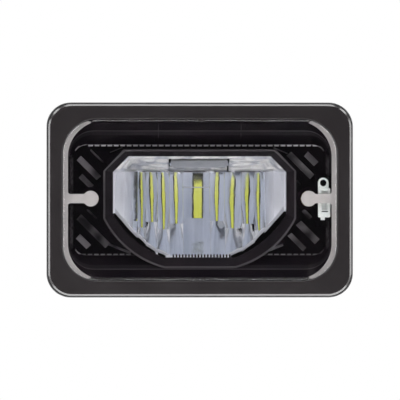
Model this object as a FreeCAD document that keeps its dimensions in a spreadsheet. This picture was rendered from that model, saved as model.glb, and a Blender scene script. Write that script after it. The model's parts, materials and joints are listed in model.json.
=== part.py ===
"""Rectangular sealed lamp with a heated lens: lens, frame, bezel, reflector, electronics and housing.

Millimetres.  X runs to the right, Z up, and the lamp shines along -Y.  The origin is the centre of
the flange's rear seating face, so the lens is at negative Y and the terminals at positive Y.
A "level" is a distance in front of the seating face: level = -Y.
"""
import FreeCAD, Part
import math
import os
import re

import Sketcher
from FreeCAD import Placement, Rotation, Vector

DIMS = {
    # flange, body and back wall of the die-cast housing
    "flange_width": 165.0, "flange_height": 105.0, "flange_radius": 13.0, "flange_level": 4.0,
    "flange_edge": 0.4,
    "shell_width": 151.0, "shell_height": 89.0, "shell_radius": 19.0, "shell_straight": 10.0,
    "tail_width": 118.0, "tail_height": 81.0, "tail_radius": 12.0, "tail_depth": 49.0,
    "mouth_width": 146.2, "mouth_height": 83.8, "mouth_radius": 17.5,
    "bottom_width": 112.0, "bottom_height": 75.0, "bottom_radius": 9.0, "bottom_depth": 46.0,
    "fin_thick": 2.0, "fin_pitch": 8.0, "fin_count": 13.0, "fin_half": 38.0, "fin_end": 60.0,
    "fin_start": 44.0, "outer_fin_x": 56.0, "outer_fin_half": 32.0,
    "lug_x": 40.0, "lug_long": 9.0, "lug_wide": 3.5, "lug_depth": 3.0, "lug_z": 48.5,
    # driver compartment on the back of the housing, and its cover
    "case_width": 76.0, "case_height": 52.0, "case_radius": 6.0, "case_end": 62.0,
    "case_inner_width": 62.0, "case_inner_height": 38.0, "case_inner_radius": 3.0,
    "case_floor": 49.5, "case_screw_x": 34.0, "case_screw_z": 22.0, "screw_core": 1.25,
    "screw_gap": 0.05, "case_screw_depth": 9.0,
    "post_radius": 3.0, "post_x": 26.0, "post_z": 14.5, "post_end": 53.0, "card_screw_bite": 3.0,
    "seal_thick": 1.0, "cover_thick": 3.0, "cover_bevel": 0.35, "cover_hole": 1.5,
    "cover_sink": 2.7, "sink_depth": 1.6, "cover_screw_reach": 9.5,
    "port_width": 26.0, "port_height": 20.0, "port_radius": 2.0,
    # front frame, lens and lens seal
    "frame_width": 162.8, "frame_height": 102.9, "frame_radius": 12.6, "frame_level": 9.0,
    "frame_round": 0.6, "frame_bevel": 0.95,
    "window_width": 147.5, "window_height": 86.7, "window_radius": 19.0,
    "rebate_width": 154.2, "rebate_height": 93.4, "rebate_radius": 21.0, "rebate_level": 7.9,
    "frame_screw_x": 74.4, "frame_screw_z": 44.4, "frame_pilot_depth": 3.2,
    "frame_head": 2.4, "frame_head_depth": 1.4, "frame_screw_spare": 0.4,
    "lens_width": 153.6, "lens_height": 92.8, "lens_radius": 20.7, "lens_back": 6.2,
    "plateau_width": 147.1, "plateau_height": 86.3, "plateau_radius": 18.8, "lens_front": 10.8,
    "lens_round": 1.6,
    "seal_inner_width": 149.2, "seal_inner_height": 88.4, "seal_inner_radius": 19.5,
    # printed heater on the lens's inner face
    "film_thick": 0.06, "bar_thick": 0.14, "film_width": 146.6, "film_height": 85.8,
    "film_radius": 18.5,
    "bar_outer_x": 73.6, "bar_inner_x": 70.9, "bar_straight_z": 24.2, "bar_tip_x": 60.0,
    "bar_tip_z": 42.5, "bar_root_x": 58.4, "bar_root_z": 41.4, "bar_bend": 18.4,
    "bar_inner_bend": 19.4,
    "pad_x": 58.7, "pad_z": 0.75, "pad_radius": 4.2, "stem_half": 2.45, "stem_fillet": 1.4,
    "pad_flare": 1.1,
    # inner bezel
    "rim_width": 148.4, "rim_height": 87.6, "rim_radius": 19.2, "rim_level": 5.5,
    "slope_width": 144.4, "slope_height": 83.2, "slope_radius": 17.2,
    "skirt_width": 145.6, "skirt_height": 83.2, "skirt_radius": 17.2,
    "well_width": 136.6, "well_height": 59.6, "well_radius": 7.5, "well_edge": -4.0,
    "well_back_width": 140.6, "well_back_height": 63.6, "well_back_radius": 9.5,
    "well_floor": -7.0, "bezel_back": -9.0, "well_wall": 2.0,
    "collar_level": 2.0, "collar_lip": 0.8, "collar_dish": 1.8,
    "collar_top_x": 40.2, "collar_top_z": 26.5, "collar_side_x": 51.2, "collar_shoulder_z": 15.7,
    "collar_side_z": -10.0, "collar_foot_x": 19.0, "collar_foot_z": -36.0, "collar_bend": 51.0,
    "gate_top_x": 38.5, "gate_top_z": 23.6, "gate_side_x": 46.8, "gate_shoulder_z": 15.1,
    "gate_side_z": -7.8, "gate_foot_x": 19.3, "gate_foot_z": -31.1, "gate_bend": 57.0,
    "rib_pitch": 3.47, "rib_long": 2.5, "rib_thick": 0.75, "rib_first_x": -60.2, "rib_count": 36.0,
    "rib_depth": 2.0, "low_rib_count": 8.0, "low_rib_left_x": -64.0, "low_rib_right_x": 37.0,
    "tooth_pitch": 1.7, "tooth_wide": 0.85, "tooth_tall": 1.6, "tooth_first_x": -14.6,
    "tooth_count": 19.0,
    "louvre_rise": 0.68, "louvre_ridge": 0.3, "louvre_root": 0.5,
    "boss_radius": 6.3, "boss_bore": 5.1, "boss_level": 3.5, "boss_step": -4.0,
    "tray_left": 62.4, "tray_right": 72.0, "tray_top": 14.1, "tray_low": -14.9, "tray_wall": 0.8,
    "tray_level": 3.0, "tray_floor": 0.2,
    # lens temperature sensor in its tray
    "sensor_left": 63.8, "sensor_right": 70.3, "sensor_top": 6.4, "sensor_low": -9.4,
    "sensor_back": 0.4, "sensor_front": 4.4, "sensor_corner": 0.7,
    "eye_x": 66.6, "eye_z": 9.2, "eye_radius": 2.85, "eye_hole": 1.8, "eye_front": 3.2,
    "dish_left": 65.6, "dish_right": 69.1, "dish_top": 5.0, "dish_low": -5.3, "dish_depth": 1.2,
    "notch_z": -6.2, "notch_half": 0.33, "nub_left": 65.2, "nub_right": 67.4, "nub_low": -10.8,
    # sprung contacts that feed the bus bars
    "barrel_radius": 3.6, "barrel_bore": 3.0, "barrel_flange": 4.1, "barrel_flange_thick": 1.0,
    "barrel_front": 3.4, "barrel_back": -12.0, "barrel_mouth": 2.45, "barrel_lip": 0.8,
    "pin_radius": 2.4, "pin_collar": 2.94, "pin_collar_thick": 1.4, "pin_gap": 0.06,
    "pin_round": 0.8, "pin_shoulder": 0.5,
    "spring_wire": 0.3, "spring_mean": 2.3, "spring_turns": 5.0,
    "plug_thick": 1.5, "plug_tail": 0.9, "plug_tail_long": 2.0,
    # reflector
    "focal": 18.0, "focus_y": 24.5, "focus_z": 18.0, "break_z": -10.0, "break_tilt": 0.175,
    "insert_z": 7.0, "insert_tilt": 0.04, "mirror_half": 56.0, "mirror_low": -40.0,
    "mirror_high": 24.0, "mirror_reach": 80.0,
    "mirror_thick": 2.0, "flute_rise": 0.028, "flute_pinch": 3.6, "flute_waist": -0.3,
    "side_slope": 0.85,
    "cup_front": 9.2, "cup_back": 50.0, "cup_top_z": 14.5, "cup_top_x": 33.0,
    "cup_side_x": 40.0, "cup_shoulder_z": 9.0, "cup_margin": 0.5, "lip_inset": 1.4,
    "lip_depth": 1.4,
    "slot_half": 16.6, "slot_front": 12.5, "slot_back": 41.0, "slot_low": 15.5,
    "slot_tall": 20.0,
    "ear_x": 53.0, "ear_z": 17.0, "ear_radius": 3.2, "ear_thick": 2.5, "ear_hole": 1.3,
    "ear_reach": 10.0,
    # light source hanging under the heat spreader
    "plate_half": 15.0, "plate_low": 20.3, "plate_thick": 3.0, "plate_front": 15.0,
    "upright_top": 36.0, "upright_thick": 2.0, "pad_thick": 0.5,
    "board_half": 16.0, "board_thick": 1.4, "board_front": 16.0, "board_back": 37.0,
    "chip_wide": 6.2, "chip_long": 9.0, "chip_thick": 0.8,
    "glow_wide": 4.6, "glow_long": 6.0, "glow_thick": 0.15,
    "shield_half": 15.5, "shield_low": 17.7, "shield_high": 21.5, "shield_cut": 1.6,
    "shield_front": 13.0, "shield_thick": 2.0,
    "led_screw_x": 11.5, "led_screw_y": 33.0, "spreader_screw_x": 10.0, "spreader_screw_z": 31.0,
    "small_core": 1.0, "small_head": 1.9, "small_head_thick": 1.2, "small_bite": 2.1,
    "screw_end_gap": 0.1, "spreader_screw_bite": 1.5, "vent_bite": 0.5, "lead_gap": 0.1,
    # driver electronics
    "card_width": 60.0, "card_height": 36.0, "card_thick": 1.6, "card_radius": 1.0,
    "coil_x": -19.1, "coil_z": 3.0, "coil_size": 11.6, "coil_tall": 6.0, "coil_corner": 2.5,
    "can_x": 19.0, "can_z": 8.0, "can_pitch": 9.0, "can_radius": 3.6, "can_tall": 6.0,
    "switch_x": -20.0, "switch_z": -11.0, "switch_wide": 9.5, "switch_deep": 7.0,
    "switch_tall": 2.4,
    # terminal block and blades
    "block_width": 25.6, "block_height": 19.6, "block_radius": 1.8, "block_inner": 58.0,
    "block_flange_width": 34.0, "block_flange_height": 27.0, "block_flange_radius": 4.0,
    "block_flange_thick": 2.2, "block_seal": 0.8, "block_outer": 74.0, "block_edge": 0.8,
    "blade_wide": 8.0, "blade_thick": 0.8, "blade_inner": 54.7, "blade_outer": 85.0,
    "blade_taper": 0.25, "blade_side_x": 8.4, "blade_top_z": 6.4, "blade_side_z": -1.6,
    # breather vent on the cover
    "vent_x": 25.5, "vent_z": 0.0, "vent_hole": 2.5, "vent_cap": 5.4, "vent_cap_thick": 2.6,
    "vent_slot": 1.0,
    # leads between the driver, the light source, the contacts and the sensor
    "lead_radius": 0.8, "lead_hole": 1.9, "grommet_lip": 2.8, "grommet_lip_thick": 1.0,
    "lead_stub": 1.0, "lead_straight": 4.5,
}

document = FreeCAD.newDocument("heated_lamp")
sheet = document.addObject("Spreadsheet::Sheet", "Dims")
for row, (alias, size) in enumerate(DIMS.items(), start=1):
    sheet.set(f"A{row}", alias)
    sheet.set(f"B{row}", str(size))
    sheet.setAlias(f"B{row}", alias)
document.recompute()


def amount(formula):
    """Number given by a sum of sheet cells and numbers, such as 'rim_width / 2 - well_wall'."""
    total = 0.0
    for term in formula.replace("-", "+-").split("+"):
        words = term.strip().lstrip("-").split()
        if not words:
            continue
        number = DIMS[words[0]] if words[0] in DIMS else float(words[0])
        for sign, word in zip(words[1::2], words[2::2]):
            factor = DIMS[word] if word in DIMS else float(word)
            number = number * factor if sign == "*" else number / factor
        total += -number if term.strip().startswith("-") else number
    return total


def cells(formula):
    """The same sum, written for FreeCAD's expression engine."""
    return re.sub(r"[a-z]\w*", r"Dims.\g<0>", formula)


def bind(thing, **formulas):
    """Tie properties to sheet cells; a double underscore stands for a dot."""
    for name, formula in formulas.items():
        thing.setExpression(name.replace("__", "."), cells(formula))


def place(thing, x="0", y="0", z="0"):
    """Put a primitive at a position given by sums of sheet cells."""
    for axis, formula in (("x", x), ("y", y), ("z", z)):
        thing.setExpression(f"Placement.Base.{axis}", cells(formula))


# ---------------------------------------------------------------- sketches and features
def new_body(label):
    body = document.addObject("PartDesign::Body", label)
    body.Label = label
    return body


def new_sketch(body, name, level):
    """A sketch parallel to XZ: its normal is -Y, so its offset is its level."""
    sketch = body.newObject("Sketcher::SketchObject", f"{body.Label}_{name}")
    origin_plane = [item for item in body.Origin.OriginFeatures if item.Role == "XZ_Plane"][0]
    sketch.AttachmentSupport = [(origin_plane, "")]
    sketch.MapMode = "FlatFace"
    sketch.setExpression("AttachmentOffset.Base.z", cells(level))
    return sketch


def fix_point(sketch, element, end, x, z):
    """Hold one sketch point at sheet-driven distances from the sketch's origin."""
    for kind, formula in (("DistanceX", x), ("DistanceY", z)):
        index = sketch.addConstraint(
            Sketcher.Constraint(kind, -1, 1, element, end, amount(formula)))
        sketch.setExpression(f"Constraints[{index}]", cells(formula))


def draw_outline(sketch, points, arcs=None):
    """Closed outline through points; arcs maps a side's number to its radius formula.

    Points run anticlockwise in the sketch, and an arc bulges outwards, or inwards where its
    formula starts with '~'.
    """
    arcs = arcs or {}
    places = [Vector(amount(x), amount(z), 0) for x, z in points]
    first = sketch.GeometryCount
    count = len(points)
    for side, start in enumerate(places):
        end = places[(side + 1) % count]
        if side in arcs:
            radius = amount(arcs[side].lstrip("~"))
            chord = end - start
            sagitta = radius - math.sqrt(max(radius ** 2 - (chord.Length / 2) ** 2, 0.0))
            outwards = Vector(chord.y, -chord.x, 0).normalize()
            if arcs[side].startswith("~"):
                outwards = -outwards
            sketch.addGeometry(Part.Arc(start, (start + end) / 2 + outwards * sagitta, end))
        else:
            sketch.addGeometry(Part.LineSegment(start, end))
    # an arc is stored anticlockwise, so one that bulges inwards has its ends exchanged
    ends = {side: (2, 1) if arcs.get(side, "").startswith("~") else (1, 2) for side in range(count)}
    for side in range(count):
        follower = (side + 1) % count
        sketch.addConstraint(Sketcher.Constraint(
            "Coincident", first + side, ends[side][1], first + follower, ends[follower][0]))
    for side, (x, z) in enumerate(points):
        fix_point(sketch, first + side, ends[side][0], x, z)
    for side, formula in arcs.items():
        radius = formula.lstrip("~")
        index = sketch.addConstraint(Sketcher.Constraint("Radius", first + side, amount(radius)))
        sketch.setExpression(f"Constraints[{index}]", cells(radius))


def draw_rectangle(sketch, left, right, low, high):
    draw_outline(sketch, [(left, low), (right, low), (right, high), (left, high)])


def draw_rounded(sketch, width, height, radius):
    """Rectangle with round corners, centred on the sketch's origin."""
    x, z = f"{width} / 2", f"{height} / 2"
    inner_x, inner_z = f"{x} - {radius}", f"{z} - {radius}"
    less_x, less_z = f"{radius} - {x}", f"{radius} - {z}"
    points = [(less_x, f"-{z}"), (inner_x, f"-{z}"), (x, less_z), (x, inner_z),
              (inner_x, z), (less_x, z), (f"-{x}", inner_z), (f"-{x}", less_z)]
    draw_outline(sketch, points, {1: radius, 3: radius, 5: radius, 7: radius})


def draw_circle(sketch, x, z, radius):
    circle = Part.Circle(Vector(amount(x), amount(z), 0), Vector(0, 0, 1), amount(radius))
    element = sketch.addGeometry(circle)
    fix_point(sketch, element, 3, x, z)
    index = sketch.addConstraint(Sketcher.Constraint("Radius", element, amount(radius)))
    sketch.setExpression(f"Constraints[{index}]", cells(radius))


def finish_feature(body, feature):
    document.recompute()
    body.Tip = feature
    return feature


def pad(body, sketch, length, rearwards=False):
    feature = body.newObject("PartDesign::Pad", f"{sketch.Name}_pad")
    feature.Profile = sketch
    feature.Reversed = rearwards
    bind(feature, Length=length)
    return finish_feature(body, feature)


def pocket(body, sketch, length, forwards=False):
    """Cut from the sketch rearwards, or forwards where asked; an empty cut is an error."""
    document.recompute()
    before = body.Shape.Volume
    feature = body.newObject("PartDesign::Pocket", f"{sketch.Name}_pocket")
    feature.Profile = sketch
    feature.Reversed = forwards
    bind(feature, Length=length)
    finish_feature(body, feature)
    if body.Shape.Volume >= before:
        raise RuntimeError(f"{feature.Name} cuts nothing")
    return feature


def loft(body, front, back, cut=False):
    kind = "SubtractiveLoft" if cut else "AdditiveLoft"
    feature = body.newObject(f"PartDesign::{kind}", f"{front.Name}_loft")
    feature.Profile = front
    feature.Sections = [back]
    feature.Ruled = True
    return finish_feature(body, feature)


def edge_names(shape, wanted):
    return [f"Edge{number}" for number, edge in enumerate(shape.Edges, start=1) if wanted(edge)]


def soften(body, kind, size, wanted):
    """Fillet or chamfer the edges of the body's last feature that meet a test."""
    base = body.Tip
    feature = body.newObject(f"PartDesign::{kind}", f"{body.Label}_{kind.lower()}_{size}")
    feature.Base = (base, edge_names(base.Shape, wanted))
    bind(feature, **{"Radius" if kind == "Fillet" else "Size": size})
    return finish_feature(body, feature)


def row_of(body, feature, pitch, count):
    """Repeat a feature along +X."""
    pattern = body.newObject("PartDesign::LinearPattern", f"{feature.Name}_row")
    pattern.Originals = [feature]
    x_axis = [item for item in body.Origin.OriginFeatures if item.Role == "X_Axis"][0]
    pattern.Direction = (x_axis, [""])
    pattern.Length = amount(pitch) * (amount(count) - 1)
    pattern.Occurrences = int(amount(count))
    bind(pattern, Length=f"{pitch} * {count} - {pitch}", Occurrences=count)
    return finish_feature(body, pattern)


def plate(body, name, shape, sizes, level, length, **options):
    """Sketch one closed shape and pad it, in one call."""
    sketch = new_sketch(body, name, level)
    shape(sketch, *sizes)
    return pad(body, sketch, length, **options)


def opening(body, name, shape, sizes, level, length, **options):
    """Sketch one closed shape and cut it, in one call."""
    sketch = new_sketch(body, name, level)
    shape(sketch, *sizes)
    return pocket(body, sketch, length, **options)


def at_level(edge, level):
    box = edge.BoundBox
    return abs(box.YMin + level) < 0.01 and abs(box.YMax + level) < 0.01


def minus(first, second):
    """First sum less the whole second sum."""
    swapped = second.replace(" - ", " @ ").replace(" + ", " - ").replace(" @ ", " + ")
    return f"{first} + {swapped[1:]}" if swapped.startswith("-") else f"{first} - {swapped}"


def signed(side, formula):
    """A formula on the left (side -1) or the right (side 1) half."""
    if side > 0:
        return formula
    swapped = formula.replace(" - ", " @ ").replace(" + ", " - ").replace(" @ ", " + ")
    return swapped[1:] if swapped.startswith("-") else f"-{swapped}"


# ---------------------------------------------------------------- housing, cover and frame
def corner_points(x, z):
    return [(f"{a}{x}", f"{b}{z}") for a in ("-", "") for b in ("-", "")]


# posts that carry the driver board
POSTS = [("-post_x", "post_z"), ("post_x", "-post_z")]


def make_housing():
    body = new_body("housing")
    plate(body, "flange", draw_rounded, ("flange_width", "flange_height", "flange_radius"),
          "0", "flange_level")
    plate(body, "shell", draw_rounded, ("shell_width", "shell_height", "shell_radius"),
          "0", "shell_straight", rearwards=True)
    front = new_sketch(body, "taper_front", "-shell_straight")
    draw_rounded(front, "shell_width", "shell_height", "shell_radius")
    back = new_sketch(body, "taper_back", "-tail_depth")
    draw_rounded(back, "tail_width", "tail_height", "tail_radius")
    loft(body, front, back)
    first_fin = f"-fin_pitch * {int(amount('fin_count')) // 2}"
    fin = plate(body, "fin", draw_rectangle,
                (f"{first_fin} - fin_thick / 2", f"{first_fin} + fin_thick / 2",
                 "-fin_half", "fin_half"), "-fin_start", "fin_end - fin_start", rearwards=True)
    row_of(body, fin, "fin_pitch", "fin_count")
    for side, name in ((-1, "left"), (1, "right")):
        near, far = "outer_fin_x - fin_thick / 2", "outer_fin_x + fin_thick / 2"
        edges = (signed(-1, far), signed(-1, near)) if side < 0 else (near, far)
        plate(body, f"{name}_fin", draw_rectangle, (*edges, "-outer_fin_half", "outer_fin_half"),
              "-fin_start", "fin_end - fin_start", rearwards=True)
    plate(body, "case", draw_rounded, ("case_width", "case_height", "case_radius"),
          "-fin_start", "case_end - fin_start", rearwards=True)
    for x, z, name in (("-lug_x", "lug_z", "a"), ("lug_x", "lug_z", "b"), ("0", "-lug_z", "c")):
        plate(body, f"lug_{name}", draw_rectangle,
              (f"{x} - lug_long / 2", f"{x} + lug_long / 2",
               f"{z} - lug_wide / 2", f"{z} + lug_wide / 2"), "0", "lug_depth", rearwards=True)
    opening(body, "mouth", draw_rounded, ("mouth_width", "mouth_height", "mouth_radius"),
            "flange_level", "flange_level + shell_straight")
    near = new_sketch(body, "hollow_front", "-shell_straight")
    draw_rounded(near, "mouth_width", "mouth_height", "mouth_radius")
    deep = new_sketch(body, "hollow_back", "-bottom_depth")
    draw_rounded(deep, "bottom_width", "bottom_height", "bottom_radius")
    loft(body, near, deep, cut=True)
    opening(body, "case_room", draw_rounded,
            ("case_inner_width", "case_inner_height", "case_inner_radius"),
            "-case_end", "case_end - case_floor", forwards=True)
    posts = new_sketch(body, "posts", "-case_floor")
    for x, z in POSTS:
        draw_circle(posts, x, z, "post_radius")
    pad(body, posts, "post_end - case_floor", rearwards=True)
    cut_round_holes(body, "post_holes", POSTS, "small_core + screw_gap", "-post_end",
                    "post_end - case_floor", forwards=True)
    cut_round_holes(body, "case_holes", corner_points("case_screw_x", "case_screw_z"),
                    "screw_core + screw_gap", "-case_end", "case_screw_depth", forwards=True)
    frame_corners = corner_points("frame_screw_x", "frame_screw_z")
    cut_round_holes(body, "frame_holes", frame_corners,
                    "screw_core + screw_gap", "flange_level", "flange_level")
    cut_round_holes(body, "frame_heads", frame_corners,
                    "frame_head + screw_gap", "0", "frame_head_depth", forwards=True)
    cut_round_holes(body, "spreader_holes",
                    [("-spreader_screw_x", "spreader_screw_z"),
                     ("spreader_screw_x", "spreader_screw_z")],
                    "small_core + screw_gap", "-bottom_depth", "2")
    cut_round_holes(body, "lead_holes", LEAD_HOLES.values(),
                    "lead_hole", "-bottom_depth + 1", "case_floor - bottom_depth + 2")
    soften(body, "Chamfer", "flange_edge", lambda edge: at_level(edge, amount("flange_level"))
           and reaches(edge, amount("flange_width / 2 - 1"), amount("flange_height / 2 - 1")))
    return body


def reaches(edge, x, z):
    """True for an edge that gets at least this far from the centre line, either way."""
    box = edge.BoundBox
    return (max(abs(box.XMin), abs(box.XMax)) >= x or max(abs(box.ZMin), abs(box.ZMax)) >= z)


def cut_round_holes(body, name, centres, radius, level, length, **options):
    sketch = new_sketch(body, name, level)
    for x, z in centres:
        draw_circle(sketch, x, z, radius)
    return pocket(body, sketch, length, **options)


def make_frame():
    body = new_body("lens_frame")
    plate(body, "plate", draw_rounded, ("frame_width", "frame_height", "frame_radius"),
          "flange_level", "frame_level - flange_level")
    opening(body, "window", draw_rounded, ("window_width", "window_height", "window_radius"),
            "frame_level", "frame_level - flange_level")
    opening(body, "rebate", draw_rounded, ("rebate_width", "rebate_height", "rebate_radius"),
            "rebate_level", "rebate_level - flange_level")
    cut_round_holes(body, "pilots", corner_points("frame_screw_x", "frame_screw_z"),
                    "screw_core + screw_gap", "flange_level", "frame_pilot_depth", forwards=True)
    between_x = amount("frame_width / 4 + window_width / 4")
    between_z = amount("frame_height / 4 + window_height / 4")
    face = amount("frame_level")
    soften(body, "Chamfer", "frame_bevel", lambda edge: at_level(edge, face)
           and reaches(edge, between_x, between_z))
    soften(body, "Fillet", "frame_round", lambda edge: at_level(edge, face)
           and not reaches(edge, between_x, between_z))
    return body


def make_rear_cover():
    body = new_body("rear_cover")
    plate(body, "plate", draw_rounded, ("case_width", "case_height", "case_radius"),
          "-case_end - seal_thick", "cover_thick", rearwards=True)
    opening(body, "port", draw_rounded, ("port_width", "port_height", "port_radius"),
            "-case_end - seal_thick", "cover_thick")
    corners = corner_points("case_screw_x", "case_screw_z")
    cut_round_holes(body, "holes", corners, "cover_hole", "-case_end - seal_thick", "cover_thick")
    cut_round_holes(body, "sinks", corners, "cover_sink",
                    "-case_end - seal_thick - cover_thick", "sink_depth", forwards=True)
    cut_round_holes(body, "vent_hole", [("vent_x", "vent_z")], "vent_hole",
                    "-case_end - seal_thick", "cover_thick")
    outer = amount("case_end + seal_thick + cover_thick")
    soften(body, "Chamfer", "cover_bevel", lambda edge: at_level(edge, -outer)
           and reaches(edge, amount("case_width / 2 - 0.1"), amount("case_height / 2 - 0.1")))
    return body


def make_ring(label, outer, inner, level, thick, holes=(), hole=None):
    """Flat gasket with a large window and, where asked, screw holes."""
    body = new_body(label)
    plate(body, "plate", draw_rounded, outer, level, thick)
    opening(body, "window", draw_rounded, inner, f"{level} + {thick}", thick)
    if holes:
        cut_round_holes(body, "holes", holes, hole, f"{level} + {thick}", thick)
    return body


# ---------------------------------------------------------------- lens and its printed heater
def make_lens():
    body = new_body("lens")
    plate(body, "flange", draw_rounded, ("lens_width", "lens_height", "lens_radius"),
          "lens_back", "rebate_level - lens_back")
    plate(body, "plateau", draw_rounded, ("plateau_width", "plateau_height", "plateau_radius"),
          "lens_back", "lens_front - lens_back")
    soften(body, "Fillet", "lens_round", lambda edge: at_level(edge, amount("lens_front")))
    return body


def make_heater_film():
    body = new_body("heater_film")
    plate(body, "sheet", draw_rounded, ("film_width", "film_height", "film_radius"),
          "lens_back - film_thick", "film_thick")
    return body


def make_busbar(label, side):
    """C-shaped silver bar round one end of the window, with a stem and a round contact pad."""
    body = new_body(label)
    level = "lens_back - film_thick - bar_thick"
    upper = [("bar_outer_x", "-bar_straight_z"), ("bar_outer_x", "bar_straight_z"),
             ("bar_tip_x", "bar_tip_z"), ("bar_root_x", "bar_root_z"),
             ("bar_inner_x", "bar_straight_z"), ("bar_inner_x", "-bar_straight_z"),
             ("bar_root_x", "-bar_root_z"), ("bar_tip_x", "-bar_tip_z")]
    arcs = {1: "bar_bend", 3: "~bar_inner_bend", 5: "~bar_inner_bend", 7: "bar_bend"}
    if side < 0:
        # mirrored left to right, so the points run the other way round
        upper = [(f"-{x}", z) for x, z in reversed(upper)]
        arcs = {5: "bar_bend", 3: "~bar_inner_bend", 1: "~bar_inner_bend", 7: "bar_bend"}
    strip = new_sketch(body, "strip", level)
    draw_outline(strip, upper, arcs)
    pad(body, strip, "bar_thick")
    far, near = "bar_inner_x + bar_thick", "pad_x"
    edges = (near, far) if side > 0 else (signed(-1, far), f"-{near}")
    plate(body, "stem", draw_rectangle, (*edges, "pad_z - stem_half", "pad_z + stem_half"),
          level, "bar_thick")
    disc = new_sketch(body, "disc", level)
    draw_circle(disc, signed(side, "pad_x"), "pad_z", "pad_radius")
    pad(body, disc, "bar_thick")
    join_x, stem_top = amount("bar_inner_x"), amount("pad_z + stem_half")
    neck_x = amount("pad_x") + math.sqrt(amount("pad_radius") ** 2 - amount("stem_half") ** 2)

    def upright_at(edge, x):
        return (edge.BoundBox.YLength > amount("bar_thick") - 0.01 and edge.Length < 0.2
                and abs(abs(edge.CenterOfMass.x) - x) < 0.05
                and abs(edge.CenterOfMass.z) < stem_top + 1.0)

    soften(body, "Fillet", "stem_fillet", lambda edge: upright_at(edge, join_x))
    soften(body, "Fillet", "pad_flare", lambda edge: upright_at(edge, neck_x))
    return body


# ---------------------------------------------------------------- inner bezel
def gate_points(kind, lip="0"):
    """Octagonal outline with a bowed lower part, anticlockwise from its lower right corner."""
    top_x, top_z = f"{kind}_top_x + {lip}", f"{kind}_top_z + {lip}"
    side_x, foot_z = f"{kind}_side_x + {lip}", f"{kind}_foot_z - {lip}"
    shoulder_z, side_z, foot_x = f"{kind}_shoulder_z", f"{kind}_side_z", f"{kind}_foot_x"
    right = [(foot_x, foot_z), (side_x, side_z), (side_x, shoulder_z), (top_x, top_z)]
    return right + [(signed(-1, x), z) for x, z in reversed(right)]


def draw_gate(sketch, kind, lip="0"):
    draw_outline(sketch, gate_points(kind, lip), {0: f"{kind}_bend", 6: f"{kind}_bend"})


# louvres in the well's corners: middle x, middle z, length along the slope, breadth across it,
# and the turn about the lamp's axis: 45 runs down to the right and faces down to the left
LOUVRES = {
    "upper_left": [(-55.6, 23.8, 10.0, 1.8, 225), (-59.8, 17.4, 15.8, 4.2, 225),
                   (-61.3, 10.2, 9.0, 3.8, 225), (-45.0, 27.2, 8.0, 1.2, 158)],
    "lower_left": [(-58.3, -7.5, 7.4, 1.8, 225), (-57.4, -16.8, 22.6, 4.6, 225),
                   (-62.8, -22.4, 8.6, 4.2, 225), (-43.4, -26.2, 13.6, 2.0, 202)],
    "upper_right": [(54.6, 18.7, 18.2, 4.2, 45), (60.6, 22.4, 8.2, 4.4, 225),
                    (43.9, 26.8, 8.8, 1.2, 203), (53.6, 9.4, 3.6, 1.8, 45)],
    "lower_right": [(58.2, -7.8, 6.4, 3.0, 45), (58.6, -17.6, 14.8, 4.6, 45),
                    (52.8, -22.8, 12.0, 3.6, 45), (40.2, -26.2, 11.4, 2.0, 158)],
}


def add_louvre(body, name, x, z, length, breadth, turn):
    """Ramp-shaped slat, steep on one long side and sloping down to the other."""
    slat = body.newObject("PartDesign::AdditiveWedge", f"louvre_{name}")
    ridge = amount("louvre_ridge")
    slat.Xmin, slat.X2min, slat.Xmax, slat.X2max = 0.0, ridge, length, length - ridge
    slat.Zmin, slat.Z2min, slat.Zmax, slat.Z2max = 0.0, 0.0, breadth, ridge
    slat.Ymin = 0.0
    bind(slat, Ymax=f"{breadth} * louvre_rise + louvre_root", X2min="louvre_ridge",
         Z2max="louvre_ridge")
    spin = Rotation(Vector(0, 1, 0), turn) * Rotation(Vector(1, 0, 0), 180)
    middle = spin.multVec(Vector(length / 2, 0, breadth / 2))
    slat.Placement = Placement(Vector(x, amount("louvre_root - well_floor"), z) - middle, spin)
    return finish_feature(body, slat)


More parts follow.
